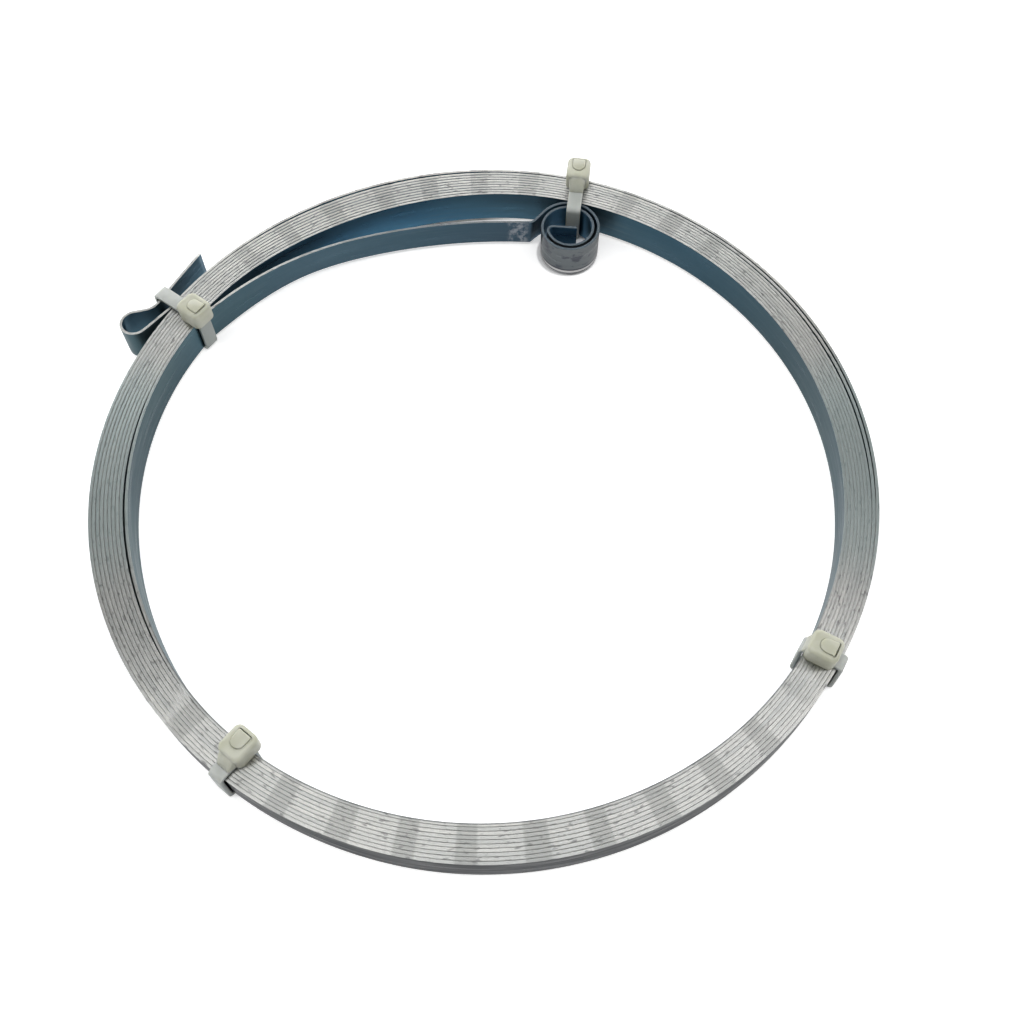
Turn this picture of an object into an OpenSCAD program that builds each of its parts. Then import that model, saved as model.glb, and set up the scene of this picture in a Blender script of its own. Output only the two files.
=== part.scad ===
// Recoil starter spring: a flat steel strip wound into a ring coil and held wound by four nylon cable ties.
// The strip is one chain of straights and tangent bends. It starts at the hook tie and runs both ways:
// outward into the folded hook, and inward through the turns, the free inner run and the curl.
// Seen from above the turns run clockwise and inward. The ring axis is Z and the ties rest on Z = 0.

/* [Spring strip] */
// Width of the strip, which is the height of the coil
strip_h = 6.6; // [4:0.1:12]
// Thickness of the strip
strip_t = 0.46; // [0.3:0.02:0.8]
// Radius that the springy strip keeps in its straight lengths
set_r = 250; // [150:10:400]

/* [Coil] */
// Diameter over the outermost turn at the hook
coil_d = 129.7; // [110:0.1:170]
// Turns from the hook to the free inner run
turns = 10; // [6:1:12]
// Clear gap between turns at the hook tie
hook_tie_play = 0.13; // [0.08:0.01:0.25]
// Clear gap between turns midway from the hook tie to the curl
hook_side_play = 0.2; // [0.08:0.01:0.3]
// Clear gap between turns at the curl
curl_play = 0.13; // [0.08:0.01:0.3]
// Clear gap between turns midway from the curl to the right tie
right_side_play = 0.1; // [0.08:0.01:0.3]
// Clear gap between turns at the right tie
right_tie_play = 0.09; // [0.08:0.01:0.25]
// Clear gap between turns midway between the two front ties
front_play = 0.14; // [0.08:0.01:0.3]
// Clear gap between turns at the left tie
left_tie_play = 0.1; // [0.08:0.01:0.25]
// Clear gap between turns midway from the left tie to the hook tie
left_side_play = 0.17; // [0.08:0.01:0.3]
// Extra gap behind the outermost turn, midway along the two far stretches
outer_turn_gap = 0.2; // [0:0.05:0.4]
// Extra gap behind the second turn, midway from the curl to the right tie
second_turn_gap = 0.2; // [0:0.05:0.4]
// Outward bulge of the coil at the curl
curl_bulge = 0.25; // [0:0.05:0.6]
// Outward bulge of the coil midway between the two front ties
front_bulge = 0.4; // [0:0.05:0.8]
// Outward bulge of the coil midway from the left tie to the hook tie
left_side_bulge = 0.2; // [0:0.05:0.6]
// Inward bow of the last turn alone, midway from the left tie to the hook tie
last_turn_bow = 0.2; // [0:0.05:1]

/* [Outer hook] */
// Angle by which the lower leg leaves the coil
hook_exit_a = 9; // [6:1:16]
// Radius of the bend where the lower leg leaves the coil
hook_exit_r = 5; // [3:0.5:10]
// Straight length of the lower leg
hook_leg = 6.4; // [4:0.1:9]
// Radius of the hook's loop, at the middle of the strip
hook_r = 2.4; // [1.8:0.1:3.5]
// Angle that the loop turns through
hook_loop_a = 215; // [205:1:225]
// Straight length of the upper leg before it flares
hook_neck = 2.1; // [1:0.1:4]
// Radius of the reverse bend that flares the tail
hook_flare_r = 3.4; // [2:0.1:6]
// Angle of the reverse bend
hook_flare_a = 49.5; // [40:0.5:55]
// Straight length of the tail
hook_tail = 12.5; // [6:0.1:16]

/* [Inner end] */
// Angle at which the curl lies on the coil wall
curl_at = 73.4; // [68:0.2:78]
// Angle of the kink where the inner strip leaves the coil
kink_a = 9; // [7:0.5:12]
// Radius of the kink
kink_r = 6; // [3:0.5:12]
// Angle between the inner run and the coil wall where the run reaches the curl
run_in_a = 13; // [8:1:18]
// Angle between the ramp into the curl and the coil wall
ramp_a = 67; // [62:1:78]
// Length of the ramp
ramp_l = 2.7; // [0.4:0.1:3.5]
// Radius of the joggle between the inner run and the ramp
joggle_r = 1.4; // [0.8:0.1:2.5]
// Radius of the curl's outer wrap, at the middle of the strip
curl_r = 5.65; // [5:0.05:7]
// Clear gap between the two wraps of the curl
curl_gap = 0.55; // [0.4:0.05:0.8]
// Clear gap between the curl and the coil wall
curl_wall_gap = 0.1; // [0.08:0.02:0.5]
// Angle that the curl turns through before the eye bend
curl_a = 670; // [640:1:690]
// Radius of the tight bend that closes the D-shaped eye
eye_r = 0.9; // [0.6:0.1:1.4]
// Angle of that bend
eye_a = 105; // [95:1:115]
// Length of the straight tail across the eye
eye_tail = 4.4; // [2:0.1:5]

/* [Cable ties] */
// Angle of the tie at the hook
hook_tie_a = 149.2; // [146:0.2:155]
// Angle by which that tie lies askew
hook_tie_skew = -5.5; // [-10:0.5:10]
// How far its head lies in from the side where its strap rises
hook_head_in = 0; // [-0.3:0.1:3]
// Angle from the middle of the curl to its tie
curl_tie_shift = 0.3; // [0:0.1:1]
// Angle by which that tie lies askew
curl_tie_skew = 8.5; // [-10:0.5:10]
// How far its head lies in from the side where its strap rises
curl_head_in = -0.3; // [-0.3:0.1:3]
// Angle of the tie at the front right
right_tie_a = -33.2; // [-40:0.2:-25]
// Angle by which that tie lies askew
right_tie_skew = 4; // [-10:0.5:10]
// How far its head lies in from the side where its strap rises
right_head_in = 2.2; // [-0.3:0.1:3]
// Angle of the tie at the front left
left_tie_a = -126; // [-135:0.2:-115]
// Angle by which that tie lies askew
left_tie_skew = -3; // [-10:0.5:10]
// How far its head lies in from the side where its strap rises
left_head_in = -0.2; // [-0.3:0.1:3]
// Width of the strap
tie_w = 2.6; // [2:0.1:3.6]
// Thickness of the strap
tie_t = 0.7; // [0.6:0.1:1.4]
// Clearance between a strap and the strip
tie_gap = 0.08; // [0.06:0.01:0.3]
// Width of the head
head_w = 4.3; // [4:0.1:6.5]
// Length of the head along the strap
head_l = 5.3; // [4:0.1:7]
// Length of the head behind the middle of the strap's cut end
head_back = 1.3; // [1.1:0.1:2]
// Height of the head
head_h = 3.5; // [2.8:0.1:5]
// Corner radius of the head, seen from above
head_corner_r = 1.1; // [0.4:0.1:1.6]
// Radius of the head's upper edges, seen from the side
head_edge_r = 0.6; // [0.3:0.1:1.2]
// Width of the tongue that shows on the head, which is the pawl with the strap's cut end
tongue_w = 2.3; // [1.6:0.1:2.6]
// Length of the tongue, with its round front end
tongue_l = 2.6; // [2:0.1:3]
// Height of the tongue above the head
tongue_h = 0.2; // [0.1:0.05:0.8]
// Width of the groove round the tongue
groove_w = 0.2; // [0.15:0.05:0.4]
// Depth of the groove
groove_depth = 0.6; // [0.3:0.1:1.5]
// Length of the tapered neck between head and strap
neck_l = 1.2; // [0.6:0.1:2]
// Height of the neck
neck_h = 2; // [1.4:0.1:2.8]

/* [Hidden] */
$fn = 180;
steel_blue = [0.22, 0.33, 0.40];
nylon_cream = [0.82, 0.81, 0.74];
curl_pitch = strip_t + curl_gap;
strip_z = tie_t + tie_gap;
loop_h = strip_h + 2 * tie_gap;
tie_corner_r = 2 * tie_gap;
head_front = head_l - head_back;
sample_step = 0.5;
grain = 0.001;
tie_fn = 48;

// One step of the chain is [radius, turn angle], left turns positive. A straight keeps the slight set.
// Radii and angles are kept to a thousandth, so that each step ends exactly where the next one starts.
function kept(v) = round(v / grain) * grain;
function bend(r, turn) = [kept(r), kept(turn)];
function left_bend(r, a) = bend(r, a);
function right_bend(r, a) = bend(r, -a);
function straight(l) = right_bend(set_r, l / set_r * 180 / PI);
function part_of(step, f) = [step[0], step[1] * f];
function step_length(step) = step[0] * abs(step[1]) * PI / 180;

// A place on the strip is [x, y, heading].
function along(a) = [cos(a), sin(a)];
function left_of(a) = [-sin(a), cos(a)];
function spot(place) = [place[0], place[1]];
function place_at(p, heading) = [p[0], p[1], heading];
function turned_round(place) = place_at(spot(place), place[2] + 180);
function wrapped(a) = a - 360 * round(a / 360);
function bend_centre(place, step) = spot(place) + sign(step[1]) * step[0] * left_of(place[2]);
function advance(place, step) =
    let (h = place[2] + step[1])
    place_at(bend_centre(place, step) - sign(step[1]) * step[0] * left_of(h), h);
function back_up(place, step) = turned_round(advance(turned_round(place), [step[0], -step[1]]));
function places(start, chain) =
    [for (i = 0, p = start; i <= len(chain); p = i < len(chain) ? advance(p, chain[i]) : p, i = i + 1) p];
function last_place(start, chain) = let (all = places(start, chain)) all[len(chain)];

// Two tangent arcs from one place to another, and a chain of them through a list of places.
function arc_to(place, p) =
    let (v = p - spot(place), half = wrapped(atan2(v[1], v[0]) - place[2]))
    bend(norm(v) / (2 * sin(abs(half))), 2 * half);
function two_arcs(place, goal) =
    let (
        t1 = along(place[2]),
        t2 = along(goal[2]),
        v = spot(goal) - spot(place),
        c = 2 * (1 - t1 * t2),
        b = v * (t1 + t2),
        d = (sqrt(b * b + c * (v * v)) - b) / c,
        first = arc_to(place, (spot(place) + spot(goal) + d * (t1 - t2)) / 2)
    )
    [first, arc_to(advance(place, first), spot(goal))];
function through(start, goals, i = 0) =
    i == len(goals)
        ? []
        : let (arcs = two_arcs(start, goals[i]))
            concat(arcs, through(last_place(start, arcs), goals, i + 1));

// The coil runs through stations at the ties and midway between them. A station is
// [angle, outward bulge, clear gap between turns, extra gap behind the outermost turn, the same behind the
// second turn, bow of the last turn].
function midway(a, b) = (a + b) / 2;
hook_station = [hook_tie_a, 0, hook_tie_play, 0, 0, 0];
stations = [
    [midway(hook_tie_a, curl_at), 0, hook_side_play, outer_turn_gap, 0, 0],
    [curl_at, curl_bulge, curl_play, outer_turn_gap / 2, 0, 0],
    [midway(curl_at, right_tie_a), curl_bulge / 2, right_side_play, outer_turn_gap, second_turn_gap, 0],
    [right_tie_a, 0, right_tie_play, 0, 0, 0],
    [midway(right_tie_a, left_tie_a), front_bulge, front_play, 0, 0, 0],
    [left_tie_a, 0, left_tie_play, 0, 0, 0],
    [midway(left_tie_a, hook_tie_a - 360), left_side_bulge, left_side_play, 0, 0, last_turn_bow]
];
outer_r = (coil_d - strip_t) / 2;
last_turn = turns - 1;
function spiral_drop(a) = (strip_t + hook_tie_play) * (hook_tie_a - a) / 360;
function station_r(k, s) =
    outer_r + s[1] - k * (strip_t + s[2]) - spiral_drop(s[0])
        - (k > 0 ? s[3] : 0)
        - (k > 1 ? s[4] : 0)
        - (k == last_turn ? s[5] : 0);
function station_place(k, s) = place_at(station_r(k, s) * along(s[0]), s[0] - 90);
function one_turn(k) = [each [for (s = stations) station_place(k, s)], station_place(k + 1, hook_station)];
coil_start = station_place(0, hook_station);
coil = through(coil_start, [for (k = [0 : last_turn]) each one_turn(k)]);
coil_end = last_place(coil_start, coil);
coil_inner_r = station_r(last_turn, hook_station) - strip_t / 2;

// The hook: lower leg, loop, neck and flared tail, walked outward from the hook tie.
hook_start = turned_round(coil_start);
hook = [
    right_bend(hook_exit_r, hook_exit_a),
    straight(hook_leg),
    right_bend(hook_r, hook_loop_a),
    straight(hook_neck),
    left_bend(hook_flare_r, hook_flare_a),
    straight(hook_tail)
];

// The curl hangs inside the coil wall at its tie, and the ramp and joggle lead into it.
curl_wall = station_place(last_turn, stations[1]);
ramp_h = curl_wall[2] + kept(ramp_a);
run_in_h = ramp_h - kept(ramp_a - run_in_a);
curl_c = spot(curl_wall) - (strip_t + curl_wall_gap + curl_r) * left_of(curl_wall[2]);
curl_entry = place_at(curl_c + curl_r * left_of(ramp_h), ramp_h);
joggle = left_bend(joggle_r, ramp_a - run_in_a);
joggle_start = back_up(back_up(curl_entry, straight(ramp_l)), joggle);
half_turns = ceil(curl_a / 180);
curl = [for (i = [0 : half_turns - 1]) right_bend(curl_r - i * curl_pitch / 2, min(180, curl_a - 180 * i))];

// The free run: two tangent arcs from the kink to the joggle.
kink = right_bend(kink_r, kink_a);
run_start = last_place(coil_end, [kink]);
inner_end = concat(
    [kink],
    two_arcs(run_start, joggle_start),
    [joggle, straight(ramp_l)],
    curl,
    [right_bend(eye_r, eye_a), straight(eye_tail)]
);

// Points along the whole strip, from which each tie takes the bundle that it holds.
function samples(start, chain) =
    let (all = places(start, chain))
    [for (i = [0 : len(chain) - 1])
        let (n = ceil(step_length(chain[i]) / sample_step))
        for (j = [0 : n]) spot(advance(all[i], part_of(chain[i], j / n)))];
strip_points = concat(samples(hook_start, hook), samples(coil_start, coil), samples(coil_end, inner_end));
function tie_pivot(a) = coil_inner_r * along(a);
function held(a, skew, beyond) =
    [for (p = strip_points)
        let (q = p - tie_pivot(a))
        if (abs(q * left_of(a + skew)) < tie_w / 2 + strip_t && p * along(a) > beyond) q * along(a + skew)];
skin = strip_t / 2 + tie_gap;
curl_reach = norm(curl_c) + eye_r;

// One bend of the strip. Its centre is reached in a coarse and a fine move, which keeps all its digits.
module strip_step(place, step) {
    c = bend_centre(place, step);
    coarse = [kept(c[0]), kept(c[1])];
    fine = c - coarse;
    to_strip = place[2] - 90 * sign(step[1]);
    translate([coarse[0], coarse[1], strip_z])
        translate([fine[0], fine[1], 0])
            rotate_extrude(angle = abs(step[1]), start = wrapped(min(to_strip, to_strip + step[1])))
                translate([step[0] - strip_t / 2, 0])
                    square([strip_t, strip_h]);
}

module strip_chain(start, chain) {
    all = places(start, chain);
    for (i = [0 : len(chain) - 1])
        strip_step(all[i], chain[i]);
}

module spring_strip() {
    color(steel_blue) {
        strip_chain(hook_start, hook);
        strip_chain(coil_start, coil);
        strip_chain(coil_end, inner_end);
    }
}

// A rectangle from one corner to the other, with round corners.
module rounded(low, high, r) {
    size = high - low;
    translate(low) {
        translate([r, 0]) square([size[0] - 2 * r, size[1]]);
        translate([0, r]) square([size[0], size[1] - 2 * r]);
        for (x = [r, size[0] - r], y = [r, size[1] - r])
            translate([x, y]) circle(r, $fn = tie_fn);
    }
}

// Turns a profile drawn in X and Z into a bar of the given width, centred on Y.
module across(w) {
    rotate([90, 0, 0])
        linear_extrude(w, center = true)
            children();
}

// The strap's loop round the held bundle, from x0 to x1.
module tie_loop(x0, x1) {
    wall = [tie_t, tie_t];
    low = [x0, tie_t];
    high = [x1, tie_t + loop_h];
    across(tie_w)
        difference() {
            rounded(low - wall, high + wall, tie_corner_r + tie_t);
            rounded(low, high, tie_corner_r);
        }
}

// A tongue along X with a round front end.
module tongue(l, w) {
    translate([0, -w / 2]) square([l - w / 2, w]);
    translate([l - w / 2, 0]) circle(w / 2, $fn = tie_fn);
}

// The head, with the middle of the strap's cut end at the origin. X points along the fixed end of the strap,
// and the neck ends at the given place on it.
module tie_head(neck_end) {
    tongue_back = -tie_t / 2;
    difference() {
        intersection() {
            linear_extrude(head_h)
                rounded([-head_back, -head_w / 2], [head_front, head_w / 2], head_corner_r);
            across(head_w)
                rounded([-head_back, -head_edge_r], [head_front, head_h], head_edge_r);
        }
        translate([tongue_back - groove_w, 0, head_h - groove_depth])
            linear_extrude(groove_depth + tongue_h)
                tongue(tongue_l + 2 * groove_w, tongue_w + 2 * groove_w);
    }
    translate([tongue_back, 0, 0])
        linear_extrude(head_h + tongue_h)
            tongue(tongue_l, tongue_w);
    linear_extrude(neck_h)
        polygon([
            [head_front - head_corner_r, -head_w / 2 + head_corner_r / 2],
            [neck_end, -tie_w / 2],
            [neck_end, tie_w / 2],
            [head_front - head_corner_r, head_w / 2 - head_corner_r / 2]
        ]);
}

// A tie round all of the strip beyond a radius. Its strap rises at the inner or the outer side of the coil,
// and its head lies on the coil, facing away from that side. Its neck stops where the strap turns down.
module cable_tie(a, skew, beyond, head_in, head_outside) {
    bundle = held(a, skew, beyond);
    x0 = min(bundle) - skin;
    x1 = max(bundle) + skin;
    head_x = head_outside ? x1 + tie_t / 2 - head_in : x0 - tie_t / 2 + head_in;
    strap_turn = x1 - x0 + tie_t - head_in;
    neck_end = max(head_front, min(head_front + neck_l, strap_turn));
    color(nylon_cream)
        translate(tie_pivot(a))
            rotate([0, 0, a + skew]) {
                tie_loop(x0, x1);
                translate([head_x, 0, tie_t + loop_h])
                    rotate([0, 0, head_outside ? 180 : 0])
                        tie_head(neck_end);
            }
}

module cable_tie_outer_hook() {
    cable_tie(hook_tie_a, hook_tie_skew, 0, hook_head_in, false);
}

module cable_tie_inner_end() {
    cable_tie(curl_at + curl_tie_shift, curl_tie_skew, curl_reach, curl_head_in, true);
}

module cable_tie_front_right() {
    cable_tie(right_tie_a, right_tie_skew, 0, right_head_in, true);
}

module cable_tie_front_left() {
    cable_tie(left_tie_a, left_tie_skew, 0, left_head_in, false);
}

spring_strip();
cable_tie_outer_hook();
cable_tie_inner_end();
cable_tie_front_right();
cable_tie_front_left();
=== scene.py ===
"""Looks of a flat recoil spring, wound as a ring and held by four nylon cable ties.

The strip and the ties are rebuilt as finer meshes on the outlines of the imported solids, so they follow the
frame. Everything is in metres, with +Z up and the ring's axis at the origin.
"""
import math
from types import SimpleNamespace

import bmesh
import bpy
import numpy as np
from mathutils import Matrix, Vector
from mathutils.kdtree import KDTree


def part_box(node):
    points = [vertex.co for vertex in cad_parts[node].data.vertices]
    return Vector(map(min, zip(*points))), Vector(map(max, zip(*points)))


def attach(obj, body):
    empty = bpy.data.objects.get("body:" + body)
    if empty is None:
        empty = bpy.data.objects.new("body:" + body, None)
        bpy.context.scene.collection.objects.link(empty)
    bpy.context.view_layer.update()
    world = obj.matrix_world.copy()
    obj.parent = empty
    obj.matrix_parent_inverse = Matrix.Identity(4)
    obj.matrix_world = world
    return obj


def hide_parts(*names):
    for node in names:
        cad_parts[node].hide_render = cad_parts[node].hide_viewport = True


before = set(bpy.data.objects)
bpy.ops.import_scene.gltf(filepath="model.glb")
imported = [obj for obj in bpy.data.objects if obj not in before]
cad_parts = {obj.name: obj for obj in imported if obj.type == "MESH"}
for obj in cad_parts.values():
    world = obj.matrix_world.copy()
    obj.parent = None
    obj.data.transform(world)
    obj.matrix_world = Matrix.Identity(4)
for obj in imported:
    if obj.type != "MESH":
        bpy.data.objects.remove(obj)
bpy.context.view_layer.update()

MM = 0.001
STRIP = "spring_strip"
TIES = [name for name in sorted(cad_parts) if name != STRIP]


def srgb(r, g, b):
    """A colour as the photograph shows it, in levels of 255, for a shader's socket."""
    levels = [c / 255 for c in (r, g, b)]
    linear = [c / 12.92 if c <= 0.04045 else ((c + 0.055) / 1.055) ** 2.4 for c in levels]
    return (*linear, 1.0)


# Camera: the photograph's viewing angle, with the picture taken as a square
CAMERA_PLACE = Vector((4.62, -99.94, 178.72)) * MM
CAMERA_ELEVATION = math.radians(62.03)
CAMERA_ROLL = math.radians(0.21)
CAMERA_LENS = 42.204
CAMERA_SENSOR = 36.0
CAMERA_CLIP = 0.01

# Light: the world's even grey, and each lamp's place, width and power
WORLD_LEVEL = 0.315
LAMP_DEPTH = 0.15
LAMPS = {
    "overhead": ((0.01, -0.08, 0.62), 2.8, 7.2),
    "far": ((-0.06, 0.62, 0.31), 2.1, 6.8),
}

# Floor: a flat middle that curves up into a wall, and where its glow is left off
FLOOR_MIDDLE = 0.3
FLOOR_RADIUS = 1.2
WALL_RADIUS = 1.8
WALL_HEIGHT = 1.0
WALL_STEPS = 12
FLOOR_SIDES = 96
FLOOR_LEVEL = 0.9
FLOOR_GLOW = 0.42
CURL_SHADE = (5.5 * MM, 5.9 * MM)
COIL_INSIDE = 60 * MM
RUN_BACK = 2.0 * MM
RUN_FADE = 1.6 * MM
RUN_END_FADE = math.radians(9)

# Strip mesh
EDGE_ROUND = 0.025 * MM
CORNER_STEPS = 3
STATION_STEP = 1.2 * MM
STATION_TURN = math.radians(6)
STRAIGHT = 1e-4
WELD = 0.002 * MM
TOP_NORMAL = 0.9
SQUARE_TURN = math.radians(60)

# Gaps between turns, which are narrowed: tight ones most, open ones and those at the far side least
NO_GAP = 1.0
NEXT_TURN = 10 * MM
TIGHT_GAP = 0.16 * MM
OPEN_GAP = 0.26 * MM
LINE_KEPT = (0.55, 0.9)
FAR_SINE = (0.3, 0.7)
FAR_OPEN = 0.7

# Stretches of the strip: the hook from its tip, the first turn after the free run, the others from the eye
HOOK_LENGTH = 33 * MM
INNER_LENGTH = 132 * MM
FIRST_TURN = 372 * MM
JOGGLE_LENGTH = 68 * MM
CURL_LENGTH = 64 * MM
SCUFF_SPAN = (67.6 * MM, 72.2 * MM)
LEAN = 1.1 * MM
LEAN_RISE = (130 * MM, 108 * MM)
LEAN_FALL = (59 * MM, 67 * MM)

# Noise on the strip's walls: scale along it and up it, detail and roughness
STREAKS = (60, 900, 4.0, 0.6)
CLOUDS = (22, 60, 2.0, 0.5)
BLOTCHES = (330, 500, 3.0, 0.6)
SCUFFS = (700, 420, 4.0, 0.65)

# Noise on the strip's edges
GRAIN_ALONG = 1400
GRAIN_ACROSS = 0.9
GRAIN_DETAIL = 3.0
GRAIN_ROUGH = 0.65
PIT_SCALE = 0.45
TONE_SCALE = 35
# Painted reflection bands on the edges: their sway, period and place round the ring
PATCH_SWAY_SCALE = 3
PATCH_SWAY = 3.0
PATCH_PERIOD = math.radians(8.7)
PATCH_PLACE = math.radians(-91.5)
PATCH_PHASE = math.pi - 2 * math.pi * PATCH_PLACE / PATCH_PERIOD - PATCH_SWAY / 2

# Ramps on the strip's walls: the range, and the results at its ends where they aren't 0 and 1
ON_EDGE = (0.3, 0.7)
ON_OUTSIDE = (-0.2, 0.2)
# Where painted shade greys the inner wall at the ring's sides
SIDE_SHADE_FACING = (0.6, 0.97)
# Angles round the ring where painted light makes the inner wall paler
FAR_PAINTED_LIGHT_ANGLES = (math.radians(65), math.radians(120))
CLOUD_SHARE = (0.35, 0.65)
STREAK_SHARE = (0.5, 0.75, 0.0, 0.3)
JOGGLE_DARK = (JOGGLE_LENGTH + 24 * MM, JOGGLE_LENGTH, 0.0, 0.7)
CURL_PAINTED_LIGHT_SPAN = (JOGGLE_LENGTH, CURL_LENGTH)
# Where the painted shade on the outer wall fades out, by the sine of the angle round the ring
FRONT_SHADE_FADE = (-0.4, 0.0)
BLOTCH_SHARE = (0.54, 0.64, 0.0, 0.8)
BAND_LINE = (1.2 * MM, 0.9 * MM)
BAND = (0.8 * MM, 0.6 * MM)
BAND_FOOT = (0.25 * MM, 0.1 * MM)
SCUFF_SHARE = (0.42, 0.6)
SCUFF_MOST = 0.65
FACE_ROUGH = (0.3, 0.7, 0.26, 0.4)

# Ramps on the strip's edges
TONE_SHARE = (0.3, 0.7)
GRAIN_SHARE = (0.65, 0.35, 0.0, 0.3)
PIT_SHARE = (0.58, 0.68, 0.0, 0.6)
PATCH_SHARE = (-0.6, -0.3, 0.4, 0.0)
PATCH_FRONT = (-0.5, -0.8)
PATCH_FAR = (0.5, 0.8, 0.0, 0.8)
# Where painted shade dulls the edges at the ring's sides
SIDE_SHADE_SHARE = (0.92, 0.99, 0.0, 0.6)
RUN_DARK = (INNER_LENGTH - 14 * MM, INNER_LENGTH - 40 * MM, 0.0, 0.75)
RIM_SHARE = (0.1, -0.5, 0.0, 0.7)
RIM_FRONT = (-0.3, -0.6)
JOGGLE_EDGE_DARK = (JOGGLE_LENGTH + 3 * MM, JOGGLE_LENGTH, 0.0, 0.85)
EDGE_ROUGH = (0.3, 0.7, 0.4, 0.5)

# Steel's brushed finish and grain
BRUSHED = 0.9
BRUSHED_TURN = 0.25
GRAIN_BUMP = {"Strength": 0.2, "Distance": 0.03 * MM}

# Steel colours, in pairs where clouds or tones mix them
BLUE = (srgb(43, 70, 84), srgb(57, 82, 95))
# Painted light: paler blue for the inner wall behind the free run
FAR_PAINTED_LIGHT_BLUE = (srgb(53, 97, 126), srgb(67, 109, 133))
# Painted shade that greys the blue at the ring's sides, and the hook's own grey blue
HOOK_AND_SIDE_SHADE_BLUE = (srgb(46, 69, 78), srgb(61, 82, 88))
HOOK_BLUE = (srgb(60, 92, 110), srgb(74, 103, 118))
DARK_BLUE = srgb(32, 52, 68)
# Painted light: paler blue that lifts the shaded gaps between the curl's wraps
CURL_PAINTED_LIGHT_BLUE = srgb(66, 104, 130)
STREAK_BLUE = srgb(90, 108, 116)
# Painted shade: the darkest slate, on the outer wall at the ring's front
FRONT_SHADE_SLATE = (srgb(14, 20, 27), srgb(21, 28, 34))
SLATE = (srgb(40, 52, 60), srgb(52, 64, 71))
STREAK_SLATE = srgb(46, 52, 58)
CURL_GREY = (srgb(86, 92, 95), srgb(100, 103, 105))
BLOTCH_GREY = srgb(64, 66, 74)
BAND_LINE_GREY = srgb(60, 62, 68)
PALE_BAND_GREY = srgb(168, 168, 168)
BAND_FOOT_GREY = srgb(70, 70, 74)
SCUFF_GREY = srgb(136, 140, 146)
# Painted light for the walls in tight gaps between turns, where shade falls
GAP_PAINTED_LIGHT_SILVER = srgb(224, 224, 221)
SILVER = (srgb(186, 188, 186), srgb(208, 208, 204))
GRAIN_GREY = srgb(140, 140, 140)
PIT_GREY = srgb(84, 84, 86)
# Painted reflection: duller bands in the edges' highlight
REFLECTION_BAND_GREY = srgb(122, 124, 122)
# Painted shade: the duller, greener edges at the ring's sides
SIDE_SHADE_SILVER = srgb(172, 190, 190)
RUN_GREY = srgb(92, 100, 106)
RIM_GREY = srgb(70, 76, 80)
JOGGLE_GREY = srgb(78, 90, 98)

# Nylon
HEAD_CREAM = (srgb(170, 171, 153), srgb(180, 181, 167))
STRAP_WHITE = (srgb(164, 168, 164), srgb(173, 176, 172))
# Painted shade on the straps' upright faces, which also stands for the dark steel seen through them
STRAP_SHADED_SIDE = srgb(144, 149, 146)
STRAP_SIDE_NORMAL = (0.7, 0.2)
NYLON_CLOUD_SCALE = 420.0
NYLON_GRAIN_SCALE = 2600.0
NYLON_BUMP = {"Strength": 0.12, "Distance": 0.04 * MM}
NYLON_SOCKETS = {
    "Roughness": 0.42,
    "Subsurface Weight": 0.5,
    "Subsurface Radius": (1.0, 0.95, 0.7),
    "Subsurface Scale": 0.8 * MM,
}

# Tie mesh
STRAP_ROUND = 0.14 * MM
STRAP_BEND = 0.9
STRAP_STEPS = 2
LOOP_STEPS = 6
HEAD_ROUND = 0.6 * MM
HEAD_CORNER = 1.1 * MM
HEAD_STEPS = 11
SHOULDER_STEPS = 7
GROOVE = 0.07 * MM
GROOVE_DEPTH = 0.06 * MM
GROOVE_FLARE = 0.08 * MM
GROOVE_WALL = 0.4
GROOVE_BACK_ROUND = 0.2 * MM
SLOT_WIDTH = 0.13 * MM
SLOT_DEPTH = 0.5 * MM
TONGUE_RIM = 0.12 * MM
TONGUE_FOOT = 0.1 * MM
TONGUE_BACK_ROUND = 0.15 * MM
ROUND_END_FLAT = 0.01 * MM
NECK_ROUND = 0.7 * MM
NECK_ROUND_SHARE = 0.46
NECK_STEPS = 6
NECK_CORNER_STEPS = 5
NECK_END_THICK = 0.7

# Margins that tell a tie's parts from each other when its node is measured
HEAD_MARGIN = 0.3 * MM
LOOP_MARGIN = 0.5 * MM
NECK_MARGIN = 0.2 * MM


# Mesh helpers

def new_piece(name, verts, faces, node, material, values):
    """A mesh piece that stands for a CAD node, with named values at its points for its material."""
    mesh = bpy.data.meshes.new(name)
    mesh.from_pydata([tuple(v) for v in verts], [], faces)
    mesh.validate()
    mesh.materials.append(material)
    mesh.shade_smooth()
    for label, numbers in values.items():
        layer = mesh.attributes.new(label, "FLOAT", "POINT")
        layer.data.foreach_set("value", np.array(numbers, np.float32))
    piece = bpy.data.objects.new(name, mesh)
    bpy.context.scene.collection.objects.link(piece)
    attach(piece, "root")
    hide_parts(node)
    return piece


def ring_numbers(count, n, base=0):
    """Point numbers of a row of rings with n points each."""
    return [[base + i * n + k for k in range(n)] for i in range(count)]


def bridge(rings, closed):
    """Quads between rings of equal length. A closed row joins end to end, and an open one is capped."""
    n = len(rings[0])
    count = len(rings)
    faces = []
    for i in range(count if closed else count - 1):
        a, b = rings[i], rings[(i + 1) % count]
        faces += [(a[k], a[(k + 1) % n], b[(k + 1) % n], b[k]) for k in range(n)]
    if not closed:
        faces += [tuple(reversed(rings[0])), tuple(rings[-1])]
    return faces


def rounded_rect(width, height, radius, steps, back_radius=None):
    """A centred rectangle with round corners, counterclockwise. The two at -X can have their own radius."""
    points = []
    for quarter in range(4):
        front = quarter in (0, 3)
        r = radius if front or back_radius is None else back_radius
        x = (width / 2 - r) * (1 if front else -1)
        y = (height / 2 - r) * (1 if quarter in (0, 1) else -1)
        for k in range(steps + 1):
            a = math.pi / 2 * (quarter + k / steps)
            points.append((x + r * math.cos(a), y + r * math.sin(a)))
    return np.array(points)


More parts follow.
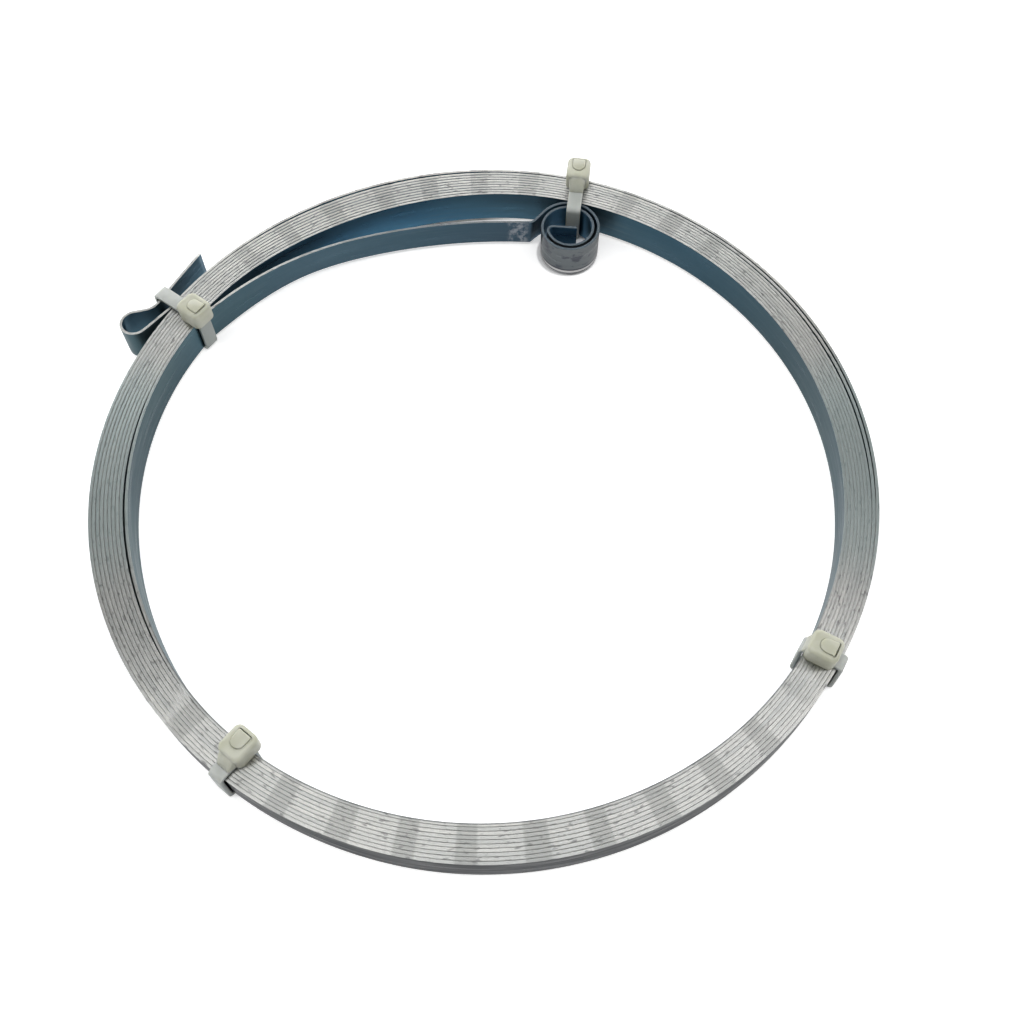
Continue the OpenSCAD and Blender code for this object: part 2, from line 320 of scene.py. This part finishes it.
def smooth_step(value, low, high):
    """A smooth rise from 0 at low to 1 at high."""
    f = np.clip((value - low) / (high - low), 0, 1)
    return f * f * (3 - 2 * f)


# The strip's path, read from the top outline of its solid

def top_outline(node):
    """Points round the top faces of a node, in order, counterclockwise."""
    mesh = bmesh.new()
    mesh.from_mesh(node.data)
    bmesh.ops.remove_doubles(mesh, verts=mesh.verts, dist=WELD)
    top = {f for f in mesh.faces if f.normal.z > TOP_NORMAL}
    links = {}
    for e in mesh.edges:
        if sum(f in top for f in e.link_faces) == 1:
            a, b = e.verts
            links.setdefault(a, []).append(b)
            links.setdefault(b, []).append(a)
    start = next(iter(links))
    loop, last, here = [start], None, start
    while True:
        step = next(v for v in links[here] if v != last)
        if step == start:
            break
        loop.append(step)
        last, here = here, step
    points = np.array([v.co[:2] for v in loop], float)
    mesh.free()
    x, y = points.T
    area = (x * np.roll(y, -1) - y * np.roll(x, -1)).sum()
    return points if area > 0 else points[::-1]


def turn_between(a, b):
    """Angle from direction a to direction b, left turns positive."""
    return np.arctan2(a[..., 0] * b[..., 1] - a[..., 1] * b[..., 0], (a * b).sum(-1))


def strip_side(outline):
    """One long side of the strip's outline, from end to end, and the strip's thickness."""
    edges = np.roll(outline, -1, 0) - outline
    turns = turn_between(np.roll(edges, 1, 0), edges)
    square = turns > SQUARE_TURN
    ends = np.nonzero(square & np.roll(square, -1))[0]
    first, second = sorted(ends, key=lambda i: np.linalg.norm(edges[i]))[:2]
    first, second = min(first, second), max(first, second)
    return outline[first + 1:second + 1], np.linalg.norm(edges[first])


def tangents(points):
    """Direction at each point, from the circle through it and its two neighbours."""
    steps = np.diff(points, axis=0)
    lengths = np.linalg.norm(steps, axis=1)
    units = steps / lengths[:, None]
    bends = turn_between(units[:-1], units[1:])
    share = lengths[:-1] / (lengths[:-1] + lengths[1:])
    headings = np.arctan2(units[:, 1], units[:, 0])
    inner = headings[:-1] + bends * share
    first = headings[0] - (inner[0] - headings[0])
    last = headings[-1] + (headings[-1] - inner[-1])
    all_headings = np.concatenate([[first], inner, [last]])
    return np.stack([np.cos(all_headings), np.sin(all_headings)], 1)


def smooth_path(points):
    """The path through the points, as close stations on curves that keep to circles."""
    directions = tangents(points)
    stations = []
    for p, q, s, t in zip(points[:-1], points[1:], directions[:-1], directions[1:]):
        bend = abs(float(turn_between(s, t)))
        chord = np.linalg.norm(q - p)
        pull = chord * (2 * math.tan(bend / 4) / math.sin(bend / 2) if bend > STRAIGHT else 1)
        count = max(1, math.ceil(chord / STATION_STEP), math.ceil(bend / STATION_TURN))
        for k in range(count):
            u = k / count
            stations.append(
                (2 * u**3 - 3 * u**2 + 1) * p + (u**3 - 2 * u**2 + u) * pull * s
                + (3 * u**2 - 2 * u**3) * q + (u**3 - u**2) * pull * t)
    stations.append(points[-1])
    return np.array(stations)


def path_length(path):
    """Length from the start of the path to each of its stations."""
    return np.concatenate([[0], np.cumsum(np.linalg.norm(np.diff(path, axis=0), axis=1))])


def left_normals(path):
    """Direction to the left of the path at each station."""
    headings = tangents(path)
    return np.stack([-headings[:, 1], headings[:, 0]], 1)


def strip_path():
    """The strip's middle line from the hook's tip to the eye, and the strip's thickness."""
    side, thickness = strip_side(top_outline(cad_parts[STRIP]))
    path = smooth_path(side)
    path = path + left_normals(path) * thickness / 2
    if np.linalg.norm(path[0]) < np.linalg.norm(path[-1]):
        path = path[::-1]
    return path, thickness


# The strip's mesh

def turn_gaps(path, normals, thickness):
    """Clear gap from the strip's wall to the next turn of the coil at each station, on one side."""
    run = path_length(path)
    wound = np.nonzero((run > HOOK_LENGTH) & (run < run[-1] - INNER_LENGTH))[0]
    tree = KDTree(len(wound))
    for i in wound:
        tree.insert((*path[i], 0), int(i))
    tree.balance()
    gaps = np.full(len(path), NO_GAP)
    for i in wound:
        for co, j, _ in tree.find_range((*path[i], 0), 2 * thickness + STATION_STEP):
            offset = np.array(co[:2]) - path[i]
            reach = offset @ normals[i]
            beside = offset @ offset < reach**2 + STATION_STEP**2
            if abs(run[j] - run[i]) > NEXT_TURN and thickness / 2 < reach and beside:
                gaps[i] = min(gaps[i], reach - thickness)
    return gaps


def gap_fills(path, outward, thickness):
    """How far each side's wall moves into its gap to the next turn, and how open that gap is taken to be."""
    far = smooth_step(path[:, 1] / np.linalg.norm(path, axis=1), *FAR_SINE)
    fills, opens = {}, {}
    for side in (1, -1):
        gaps = turn_gaps(path, outward * side, thickness)
        share = smooth_step(gaps, TIGHT_GAP, OPEN_GAP)
        kept = LINE_KEPT[0] + (LINE_KEPT[1] - LINE_KEPT[0]) * np.maximum(share, far)
        fills[side] = np.where(gaps < NO_GAP, gaps / 2 * (1 - kept), 0)
        opens[side] = np.maximum(share, FAR_OPEN * far)
    return fills, opens


def strip_section(thickness, height):
    """The strip's section: rounded corners, with points close to them that keep the walls flat."""
    corners = rounded_rect(thickness, height, EDGE_ROUND, CORNER_STEPS)
    half = 2 * (CORNER_STEPS + 1)
    x, y = thickness / 2, height / 2 - 2 * EDGE_ROUND
    return np.concatenate([corners[:half], [(-x, y), (-x, -y)], corners[half:], [(x, -y), (x, y)]])


def build_strip(path, thickness, material):
    """The whole strip as one sweep of its section. Its outer side lies to the left of its path."""
    outward = left_normals(path)
    low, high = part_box(STRIP)
    height = high.z - low.z
    section = strip_section(thickness, height)
    run = path_length(path)
    from_eye = run[-1] - run
    lean = LEAN * smooth_step(from_eye, *LEAN_RISE) * smooth_step(from_eye, *LEAN_FALL)
    fills, opens = gap_fills(path, outward, thickness)
    verts = []
    values = {"along": [], "side": [], "open": []}
    for i, (place, across) in enumerate(zip(path, outward)):
        for offset, level in section:
            side = 1 if offset > 0 else -1
            shift = offset + side * fills[side][i] + lean[i] * (0.5 - level / height)
            x, y = np.clip(place + across * shift, low[:2], high[:2])
            verts.append((x, y, (low.z + high.z) / 2 + level))
            values["along"].append(run[i])
            values["side"].append(2 * offset / thickness)
            values["open"].append(opens[side][i])
    faces = bridge(ring_numbers(len(path), len(section)), False)
    new_piece("wound_strip", verts, faces, STRIP, material, values)


# Node helpers

def fill(tree, node, inputs):
    """Set a node's sockets to values, or link them."""
    for key, value in inputs.items():
        if isinstance(value, bpy.types.NodeSocket):
            tree.links.new(value, node.inputs[key])
        else:
            node.inputs[key].default_value = value


def add(tree, kind, inputs=None, **settings):
    """A shader node with its settings and sockets."""
    node = tree.nodes.new(kind)
    for key, value in settings.items():
        setattr(node, key, value)
    fill(tree, node, inputs or {})
    return node


def math_node(tree, operation, a, b=0.0, c=0.0):
    return add(tree, "ShaderNodeMath", {0: a, 1: b, 2: c}, operation=operation).outputs[0]


def times(tree, a, b):
    return math_node(tree, "MULTIPLY", a, b)


def ramp(tree, value, low, high, out_low=0.0, out_high=1.0):
    """A smooth step of a value from one range to another."""
    sockets = {"Value": value, "From Min": low, "From Max": high, "To Min": out_low, "To Max": out_high}
    return add(tree, "ShaderNodeMapRange", sockets, interpolation_type="SMOOTHSTEP").outputs[0]


def mix(tree, factor, a, b):
    return add(tree, "ShaderNodeMix", {0: factor, 6: a, 7: b}, data_type="RGBA").outputs[2]


def noise(tree, vector, scale=1.0, detail=2.0, rough=0.5):
    sockets = {"Vector": vector, "Scale": scale, "Detail": detail, "Roughness": rough}
    return add(tree, "ShaderNodeTexNoise", sockets).outputs[0]


def combine(tree, x, y, z):
    return add(tree, "ShaderNodeCombineXYZ", {0: x, 1: y, 2: z}).outputs[0]


def separate(tree, vector):
    return add(tree, "ShaderNodeSeparateXYZ", {0: vector}).outputs


def attribute(tree, name):
    return add(tree, "ShaderNodeAttribute", attribute_name=name).outputs["Fac"]


def bump(tree, sockets, height):
    return add(tree, "ShaderNodeBump", {**sockets, "Height": height}).outputs[0]


def new_material(name):
    material = bpy.data.materials.new(name)
    material.use_nodes = True
    tree = material.node_tree
    return material, tree, tree.nodes["Principled BSDF"]


# Steel

def strip_places(tree, path):
    """Where a point of the strip is: along it, across its edge, up its wall and round the ring."""
    low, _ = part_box(STRIP)
    geometry = add(tree, "ShaderNodeNewGeometry")
    normal_z = separate(tree, geometry.outputs["Normal"])[2]
    x, y, z = separate(tree, geometry.outputs["Position"])
    at = SimpleNamespace(z=z)
    at.along = attribute(tree, "along")
    at.side = attribute(tree, "side")
    at.open = attribute(tree, "open")
    at.from_eye = math_node(tree, "SUBTRACT", float(path_length(path)[-1]), at.along)
    at.level = math_node(tree, "SUBTRACT", z, low.z)
    at.angle = math_node(tree, "ARCTAN2", y, x)
    at.sine = math_node(tree, "SINE", at.angle)
    at.facing = math_node(tree, "ABSOLUTE", math_node(tree, "COSINE", at.angle))
    at.on_edge = ramp(tree, math_node(tree, "ABSOLUTE", normal_z), *ON_EDGE)
    at.on_hook = math_node(tree, "LESS_THAN", at.along, HOOK_LENGTH)
    return at


def wall_noise(tree, at, kind, side=0.0):
    """Noise on the strip's walls. With a side given, it differs from one wall to the other."""
    along_scale, up_scale, detail, rough = kind
    where = combine(tree, times(tree, at.along, along_scale), times(tree, at.z, up_scale), side)
    return noise(tree, where, 1.0, detail, rough)


def scuffs(tree, at):
    """Share of scuffed steel on the inner side of the free run, beside the joggle."""
    middle = sum(SCUFF_SPAN) / 2
    half = (SCUFF_SPAN[1] - SCUFF_SPAN[0]) / 2
    off_middle = math_node(tree, "ABSOLUTE", math_node(tree, "SUBTRACT", at.from_eye, middle))
    spots = ramp(tree, wall_noise(tree, at, SCUFFS), *SCUFF_SHARE)
    return times(tree, spots, ramp(tree, off_middle, half, half / 2, 0.0, SCUFF_MOST))


def inner_wall(tree, at, clouds, streaked):
    """Blue temper, dark beside the joggle. Painted light makes it paler behind the free run and on the curl;
    painted shade greys it at the ring's sides, and the hook has that grey blue as its own colour.
    """
    wound = math_node(tree, "GREATER_THAN", at.from_eye, INNER_LENGTH)
    # Painted light: share of the paler blue on the inner wall behind the free run
    far_painted_light = times(tree, ramp(tree, at.angle, *FAR_PAINTED_LIGHT_ANGLES), wound)
    # Painted shade greys the blue at the ring's sides; on the hook the grey blue is its own colour
    hook_and_side_shade = math_node(tree, "MAXIMUM", ramp(tree, at.facing, *SIDE_SHADE_FACING), at.on_hook)
    colour = mix(tree, far_painted_light, mix(tree, clouds, *BLUE), mix(tree, clouds, *FAR_PAINTED_LIGHT_BLUE))
    colour = mix(tree, hook_and_side_shade, colour, mix(tree, clouds, *HOOK_AND_SIDE_SHADE_BLUE))
    colour = mix(tree, ramp(tree, at.from_eye, *JOGGLE_DARK), colour, DARK_BLUE)
    # Painted light: paler blue on the curl's inner walls, against the shade in the gaps between its wraps
    colour = mix(tree, ramp(tree, at.from_eye, *CURL_PAINTED_LIGHT_SPAN), colour, CURL_PAINTED_LIGHT_BLUE)
    colour = mix(tree, streaked, colour, STREAK_BLUE)
    return mix(tree, scuffs(tree, at), colour, SCUFF_GREY)


def curl_wall(tree, at, clouds):
    """The curl's outer wall: worn grey with dark blotches, and a pale band along its lower edge between two
    dark lines.
    """
    blotched = ramp(tree, wall_noise(tree, at, BLOTCHES), *BLOTCH_SHARE)
    colour = mix(tree, blotched, mix(tree, clouds, *CURL_GREY), BLOTCH_GREY)
    for levels, tone in ((BAND_LINE, BAND_LINE_GREY), (BAND, PALE_BAND_GREY), (BAND_FOOT, BAND_FOOT_GREY)):
        colour = mix(tree, ramp(tree, at.level, *levels), colour, tone)
    return colour


def outer_wall(tree, at, clouds, streaked):
    """Worn slate with painted shade that makes it darkest at the ring's front, with worn grey on the curl and
    blue on the hook.
    """
    # Painted shade: the outer wall is darkest at the ring's front
    past_front_shade = ramp(tree, at.sine, *FRONT_SHADE_FADE)
    colour = mix(tree, past_front_shade, mix(tree, clouds, *FRONT_SHADE_SLATE), mix(tree, clouds, *SLATE))
    colour = mix(tree, streaked, colour, STREAK_SLATE)
    on_curl = math_node(tree, "LESS_THAN", at.from_eye, CURL_LENGTH)
    colour = mix(tree, on_curl, colour, curl_wall(tree, at, clouds))
    return mix(tree, at.on_hook, colour, mix(tree, clouds, *HOOK_BLUE))


def painted_reflection_bands(tree, at):
    """Share of painted reflection: duller bands in the edges' highlight, at even steps round the ring's front
    and far parts.
    """
    sway = noise(tree, combine(tree, times(tree, at.angle, PATCH_SWAY_SCALE), 0.0, 0.0))
    offset = math_node(tree, "MULTIPLY_ADD", sway, PATCH_SWAY, PATCH_PHASE)
    phase = math_node(tree, "MULTIPLY_ADD", at.angle, 2 * math.pi / PATCH_PERIOD, offset)
    patch = ramp(tree, math_node(tree, "COSINE", phase), *PATCH_SHARE)
    front, far = ramp(tree, at.sine, *PATCH_FRONT), ramp(tree, at.sine, *PATCH_FAR)
    return times(tree, patch, math_node(tree, "ADD", front, far))


def edge_steel(tree, at, grain_at, grain):
    """Bright ground edges with grain and dark pits, darker on the free run and the curl, with painted
    reflection bands at the ring's front and far parts and painted shade at its sides.
    """
    tone = noise(tree, combine(tree, times(tree, at.along, TONE_SCALE), 0.0, 0.0))
    colour = mix(tree, ramp(tree, tone, *TONE_SHARE), *SILVER)
    colour = mix(tree, ramp(tree, grain, *GRAIN_SHARE), colour, GRAIN_GREY)
    colour = mix(tree, ramp(tree, noise(tree, grain_at, PIT_SCALE), *PIT_SHARE), colour, PIT_GREY)
    # Painted reflection: duller bands in the edges' highlight at the ring's front and far parts
    colour = mix(tree, painted_reflection_bands(tree, at), colour, REFLECTION_BAND_GREY)
    # Painted shade: edges duller and greener at the ring's sides
    colour = mix(tree, ramp(tree, at.facing, *SIDE_SHADE_SHARE), colour, SIDE_SHADE_SILVER)
    colour = mix(tree, ramp(tree, at.from_eye, *RUN_DARK), colour, RUN_GREY)
    first_turn = math_node(tree, "LESS_THAN", at.from_eye, INNER_LENGTH + FIRST_TURN)
    rim = times(tree, ramp(tree, at.side, *RIM_SHARE), ramp(tree, at.sine, *RIM_FRONT))
    colour = mix(tree, times(tree, rim, first_turn), colour, RIM_GREY)
    return mix(tree, ramp(tree, at.from_eye, *JOGGLE_EDGE_DARK), colour, JOGGLE_GREY)


def steel_material(path):
    """Blue-tempered steel, worn on the outer side, with bright ground edges. Walls in tight gaps get painted
    light: a pale silver that keeps the shaded lines between turns thin.
    """
    material, tree, shader = new_material("tempered_spring_steel")
    at = strip_places(tree, path)
    streaks = wall_noise(tree, at, STREAKS, at.side)
    streaked = ramp(tree, streaks, *STREAK_SHARE)
    clouds = ramp(tree, wall_noise(tree, at, CLOUDS, at.side), *CLOUD_SHARE)
    inner, outer = inner_wall(tree, at, clouds, streaked), outer_wall(tree, at, clouds, streaked)
    wall = mix(tree, ramp(tree, at.side, *ON_OUTSIDE), inner, outer)
    # Painted light: walls in tight gaps turn pale silver, so the shaded lines between turns stay thin
    wall = mix(tree, at.open, GAP_PAINTED_LIGHT_SILVER, wall)
    grain_at = combine(tree, times(tree, at.along, GRAIN_ALONG), times(tree, at.side, GRAIN_ACROSS), 0.0)
    grain = noise(tree, grain_at, 1.0, GRAIN_DETAIL, GRAIN_ROUGH)
    edge = edge_steel(tree, at, grain_at, grain)
    rough = {0: at.on_edge, 2: ramp(tree, streaks, *FACE_ROUGH), 3: ramp(tree, grain, *EDGE_ROUGH)}
    fill(tree, shader, {
        "Base Color": mix(tree, at.on_edge, wall, edge),
        "Metallic": 1.0,
        "Roughness": add(tree, "ShaderNodeMix", rough, data_type="FLOAT").outputs[0],
        "Anisotropic": BRUSHED,
        "Anisotropic Rotation": BRUSHED_TURN,
        "Tangent": add(tree, "ShaderNodeTangent", direction_type="RADIAL", axis="Z").outputs[0],
        "Normal": bump(tree, GRAIN_BUMP, grain),
    })
    return material


# Nylon

def nylon_material():
    """Natural nylon: cream heads, and straps greyer on their upright faces, as painted shade and as the dark
    steel seen through them.
    """
    material, tree, shader = new_material("natural_nylon")
    geometry = add(tree, "ShaderNodeNewGeometry")
    place = geometry.outputs["Position"]
    clouds = ramp(tree, noise(tree, place, NYLON_CLOUD_SCALE), *CLOUD_SHARE)
    on_side = ramp(tree, separate(tree, geometry.outputs["Normal"])[2], *STRAP_SIDE_NORMAL)
    # Painted shade: straps greyer on their upright faces, also standing for the dark steel seen through them
    strap = mix(tree, on_side, mix(tree, clouds, *STRAP_WHITE), STRAP_SHADED_SIDE)
    colour = mix(tree, attribute(tree, "thick"), strap, mix(tree, clouds, *HEAD_CREAM))
    grain = noise(tree, place, NYLON_GRAIN_SCALE)
    fill(tree, shader, {"Base Color": colour, "Normal": bump(tree, NYLON_BUMP, grain), **NYLON_SOCKETS})
    return material


# Ties

def span(points, axis):
    return points[:, axis].min(), points[:, axis].max()


def tie_frame(node):
    """The strap's middle, the way to the tongue's round end, the way across, and the points in that frame."""
    points = np.array([v.co for v in node.data.vertices], float)
    under = points[points[:, 2] < points[:, 2].min() + WELD, :2]
    middle = (under.min(0) + under.max(0)) / 2
    direction = np.linalg.eigh(np.cov((under - middle).T))[1][:, 1]
    tongue = points[points[:, 2] > points[:, 2].max() - WELD, :2] @ direction
    if tongue.mean() < (tongue.min() + tongue.max()) / 2:
        direction = -direction
    across = np.array([-direction[1], direction[0]])
    flat = points[:, :2] - middle
    return middle, direction, across, np.stack([flat @ direction, flat @ across, points[:, 2]], 1)


def measure_tie(node):
    """A tie's frame, and the sizes of its strap, head, tongue and neck."""
    middle, direction, across, local = tie_frame(node)
    along, off_middle, height = local[:, 0], np.abs(local[:, 1]), local[:, 2]
    strip_low, strip_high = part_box(STRIP)
    tie = SimpleNamespace(middle=middle, direction=direction, across=across)
    tie.low, tie.high = span(local, 2)
    tie.strap_w = 2 * off_middle[height < tie.low + WELD].max()
    head = local[off_middle > tie.strap_w / 2 + HEAD_MARGIN]
    (tie.back, tie.front), (left, right), (tie.bottom, tie.top) = (span(head, axis) for axis in range(3))
    tie.head_w = right - left
    tie.strap_t = strip_low.z - (tie.bottom - strip_high.z) - tie.low
    tongue = local[height > tie.high - WELD]
    (tie.tongue_back, tie.tongue_front), (left, right) = span(tongue, 0), span(tongue, 1)
    tie.tongue_w = right - left
    tie.loop_back, tie.loop_front = span(local[height < tie.bottom - LOOP_MARGIN], 0)
    neck = local[(along > tie.front + WELD) & (height > tie.bottom + tie.strap_t + NECK_MARGIN)]
    tie.neck_end, tie.neck_top = neck[:, 0].max(), neck[:, 2].max()
    return tie


def strap_rings(tie):
    """The strap: a flat section swept round the bundle."""
    width = tie.loop_front - tie.loop_back
    height = tie.bottom + tie.strap_t - tie.low
    track = rounded_rect(width - tie.strap_t, height - tie.strap_t, STRAP_BEND * tie.strap_t, LOOP_STEPS)
    centre = np.array([(tie.loop_back + tie.loop_front) / 2, tie.low + height / 2])
    section = rounded_rect(tie.strap_t, tie.strap_w, STRAP_ROUND, STRAP_STEPS)
    rings = []
    for k, point in enumerate(track):
        step = track[(k + 1) % len(track)] - track[k - 1]
        out = np.array([step[1], -step[0]]) / np.linalg.norm(step)
        places = [(centre + point + out * a, v) for a, v in section]
        rings.append([(u, v, z) for (u, z), v in places])
    return rings


def flat_ring(start, end, width, radius, z, back_radius=None):
    """A level ring with round corners, from start to end along the tie."""
    outline = rounded_rect(end - start, width, radius, HEAD_STEPS, back_radius)
    return [(u + (start + end) / 2, v, z) for u, v in outline]


def head_rings(tie):
    """The head: from its underside up over the shoulders, and down into the groove round the tongue."""
    foot = HEAD_ROUND / 4
    rings = [
        flat_ring(tie.back + foot, tie.front - foot, tie.head_w - 2 * foot, HEAD_CORNER, tie.bottom),
        flat_ring(tie.back, tie.front, tie.head_w, HEAD_CORNER, tie.bottom + HEAD_ROUND / 3)]
    for k in range(SHOULDER_STEPS + 1):
        a = math.pi / 2 * k / SHOULDER_STEPS
        inset = HEAD_ROUND * (1 - math.cos(a))
        z = tie.top - HEAD_ROUND * (1 - math.sin(a))
        w = tie.head_w - 2 * inset
        rings.append(flat_ring(tie.back + inset, tie.front - inset, w, HEAD_CORNER - inset / 2, z))
    for spread, sunk in ((GROOVE + GROOVE_FLARE, 0.0), (GROOVE, GROOVE_WALL), (GROOVE, 1.0)):
        start, end = tie.tongue_back - spread - SLOT_WIDTH + GROOVE, tie.tongue_front + spread
        w = tie.tongue_w + 2 * spread
        ring = flat_ring(start, end, w, w / 2 - ROUND_END_FLAT, tie.top, GROOVE_BACK_ROUND)
        depths = [SLOT_DEPTH if u < tie.tongue_back else GROOVE_DEPTH for u, _, _ in ring]
        rings.append([(u, v, z - sunk * depth) for (u, v, z), depth in zip(ring, depths)])
    return rings


def tongue_rings(tie):
    """The tongue, from below the slot behind it up to its rounded rim."""
    rings = []
    for inset, z in (
            (0, tie.top - SLOT_DEPTH - TONGUE_FOOT), (0, tie.high - TONGUE_RIM),
            (TONGUE_RIM / 3, tie.high - TONGUE_RIM / 3), (TONGUE_RIM, tie.high)):
        start, end = tie.tongue_back + inset, tie.tongue_front - inset
        w = tie.tongue_w - 2 * inset
        rings.append(flat_ring(start, end, w, w / 2 - ROUND_END_FLAT, z, TONGUE_BACK_ROUND))
    return rings


def neck_rings(tie):
    """The neck, from inside the head's front down to the strap."""
    start = tie.front - HEAD_CORNER / 2
    wider = tie.head_w - HEAD_CORNER - tie.strap_w
    higher = tie.neck_top - tie.bottom - tie.strap_t
    rings = []
    for k in range(NECK_STEPS + 1):
        f = k / NECK_STEPS
        u = start + (tie.neck_end - start) * f
        w = tie.strap_w + wider * (1 - f) ** 2
        h = tie.strap_t + higher * (1 - f * f)
        outline = rounded_rect(w, h, min(NECK_ROUND, NECK_ROUND_SHARE * h), NECK_CORNER_STEPS)
        rings.append([(u, v, tie.bottom + h / 2 + z) for v, z in outline])
    return rings


def build_tie(name, material):
    """A tie: the strap's loop, the head with its grooved tongue, and the tapered neck from head to strap."""
    tie = measure_tie(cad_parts[name])
    verts, faces, thick = [], [], []
    for rings, closed, first, last in (
            (strap_rings(tie), True, 0.0, 0.0), (head_rings(tie), False, 1.0, 1.0),
            (tongue_rings(tie), False, 1.0, 1.0), (neck_rings(tie), False, 1.0, NECK_END_THICK)):
        faces += bridge(ring_numbers(len(rings), len(rings[0]), len(verts)), closed)
        for i, ring in enumerate(rings):
            share = i / (len(rings) - 1)
            for u, v, z in ring:
                verts.append((*(tie.middle + tie.direction * u + tie.across * v), z))
                thick.append(first + (last - first) * share)
    new_piece("nylon_" + name, verts, faces, name, material, {"thick": thick})


# Stage, light and camera

def floor_mesh():
    """A flat floor that curves up into a backdrop far from the object."""
    rings = [(FLOOR_MIDDLE, 0.0), (FLOOR_RADIUS, 0.0)]
    for k in range(1, WALL_STEPS + 1):
        a = math.pi / 2 * k / WALL_STEPS
        radius = FLOOR_RADIUS + (WALL_RADIUS - FLOOR_RADIUS) * math.sin(a)
        rings.append((radius, WALL_HEIGHT * (1 - math.cos(a))))
    angles = [2 * math.pi * k / FLOOR_SIDES for k in range(FLOOR_SIDES)]
    verts = [(r * math.cos(a), r * math.sin(a), z) for r, z in rings for a in angles]
    faces = []
    for inner in range(0, len(verts) - FLOOR_SIDES, FLOOR_SIDES):
        outer = inner + FLOOR_SIDES
        for k in range(FLOOR_SIDES):
            after = (k + 1) % FLOOR_SIDES
            faces.append((inner + k, outer + k, outer + after, inner + after))
    faces.append(tuple(range(FLOOR_SIDES)))
    mesh = bpy.data.meshes.new("floor")
    mesh.from_pydata(verts, [], faces)
    mesh.shade_smooth()
    return mesh


def behind_run(tree, path, place):
    """Share of the slot behind the free run. Its bound follows the run, as a curve of radius by angle."""
    run = path_length(path)
    free = path[(run > run[-1] - INNER_LENGTH) & (run < run[-1] - JOGGLE_LENGTH)]
    angles = np.arctan2(free[:, 1], free[:, 0])
    first, last = float(angles.min()), float(angles.max())
    bend = [float(v) for v in np.polyfit(angles, np.linalg.norm(free, axis=1) + RUN_BACK, 2)]
    x, y, _ = separate(tree, place)
    angle = math_node(tree, "ARCTAN2", y, x)
    radius = add(tree, "ShaderNodeVectorMath", {0: place}, operation="LENGTH").outputs["Value"]
    slope = math_node(tree, "MULTIPLY_ADD", angle, bend[0], bend[1])
    bound = math_node(tree, "MULTIPLY_ADD", angle, slope, bend[2])
    share = ramp(tree, math_node(tree, "SUBTRACT", radius, bound), 0.0, RUN_FADE)
    share = times(tree, share, math_node(tree, "LESS_THAN", radius, COIL_INSIDE))
    share = times(tree, share, ramp(tree, angle, first, first + RUN_END_FADE))
    return times(tree, share, math_node(tree, "LESS_THAN", angle, last))


def floor_material(path):
    """Pale and matt. Its white glow is left off inside the curl and in the slot behind the free run."""
    material, tree, shader = new_material("pale_floor")
    pale = (FLOOR_LEVEL, FLOOR_LEVEL, FLOOR_LEVEL, 1)
    fill(tree, shader, {"Base Color": pale, "Roughness": 1.0, "Specular IOR Level": 0.0})
    place = add(tree, "ShaderNodeNewGeometry").outputs["Position"]
    run = path_length(path)
    curl = path[run > run[-1] - CURL_LENGTH].mean(0)
    distance = add(tree, "ShaderNodeVectorMath", {0: place, 1: (*curl, 0.0)}, operation="DISTANCE")
    open_floor = ramp(tree, distance.outputs["Value"], *CURL_SHADE, 0.0, FLOOR_GLOW)
    ray = add(tree, "ShaderNodeLightPath").outputs
    lit = math_node(tree, "SUBTRACT", 1.0, behind_run(tree, path, place))
    seen = times(tree, ray["Is Camera Ray"], lit)
    seen = math_node(tree, "MAXIMUM", seen, ray["Is Glossy Ray"])
    seen = math_node(tree, "MAXIMUM", seen, ray["Is Transmission Ray"])
    glow = add(tree, "ShaderNodeEmission", {"Color": (1, 1, 1, 1), "Strength": times(tree, seen, open_floor)})
    total = add(tree, "ShaderNodeAddShader", {0: shader.outputs[0], 1: glow.outputs[0]})
    fill(tree, tree.nodes["Material Output"], {"Surface": total.outputs[0]})
    return material


def build_stage(path):
    """The floor that the object lies on."""
    mesh = floor_mesh()
    mesh.materials.append(floor_material(path))
    floor = bpy.data.objects.new("floor", mesh)
    bpy.context.scene.collection.objects.link(floor)


def build_light():
    """An even pale surrounding, a softbox overhead and one low behind the object."""
    world = bpy.data.worlds.new("studio")
    bpy.context.scene.world = world
    world.use_nodes = True
    background = world.node_tree.nodes["Background"]
    background.inputs["Color"].default_value = (WORLD_LEVEL, WORLD_LEVEL, WORLD_LEVEL, 1)
    background.inputs["Strength"].default_value = 1.0
    for name, (place, width, power) in LAMPS.items():
        lamp = bpy.data.lights.new(name, "AREA")
        lamp.shape = "RECTANGLE"
        lamp.size, lamp.size_y = width, LAMP_DEPTH
        lamp.energy = power
        softbox = bpy.data.objects.new(name, lamp)
        softbox.location = place
        softbox.rotation_euler = Vector(place).to_track_quat("Z", "Y").to_euler()
        bpy.context.scene.collection.objects.link(softbox)


def build_camera():
    """The photograph's camera, which looks along +Y and down."""
    forward = Vector((0, math.cos(CAMERA_ELEVATION), -math.sin(CAMERA_ELEVATION)))
    right = Vector((1, 0, 0))
    down = forward.cross(right)
    c, s = math.cos(CAMERA_ROLL), math.sin(CAMERA_ROLL)
    right, down = c * right + s * down, c * down - s * right
    lens = bpy.data.cameras.new("camera")
    lens.sensor_width = CAMERA_SENSOR
    lens.lens = CAMERA_LENS
    lens.clip_start = CAMERA_CLIP
    camera = bpy.data.objects.new("camera", lens)
    axes = Matrix((right, -down, -forward)).transposed().to_4x4()
    camera.matrix_world = Matrix.Translation(CAMERA_PLACE) @ axes
    bpy.context.scene.collection.objects.link(camera)
    bpy.context.scene.camera = camera


path, thickness = strip_path()
build_strip(path, thickness, steel_material(path))
nylon = nylon_material()
for tie in TIES:
    build_tie(tie, nylon)
build_stage(path)
build_light()
build_camera()
bpy.context.scene.view_settings.view_transform = "Standard"
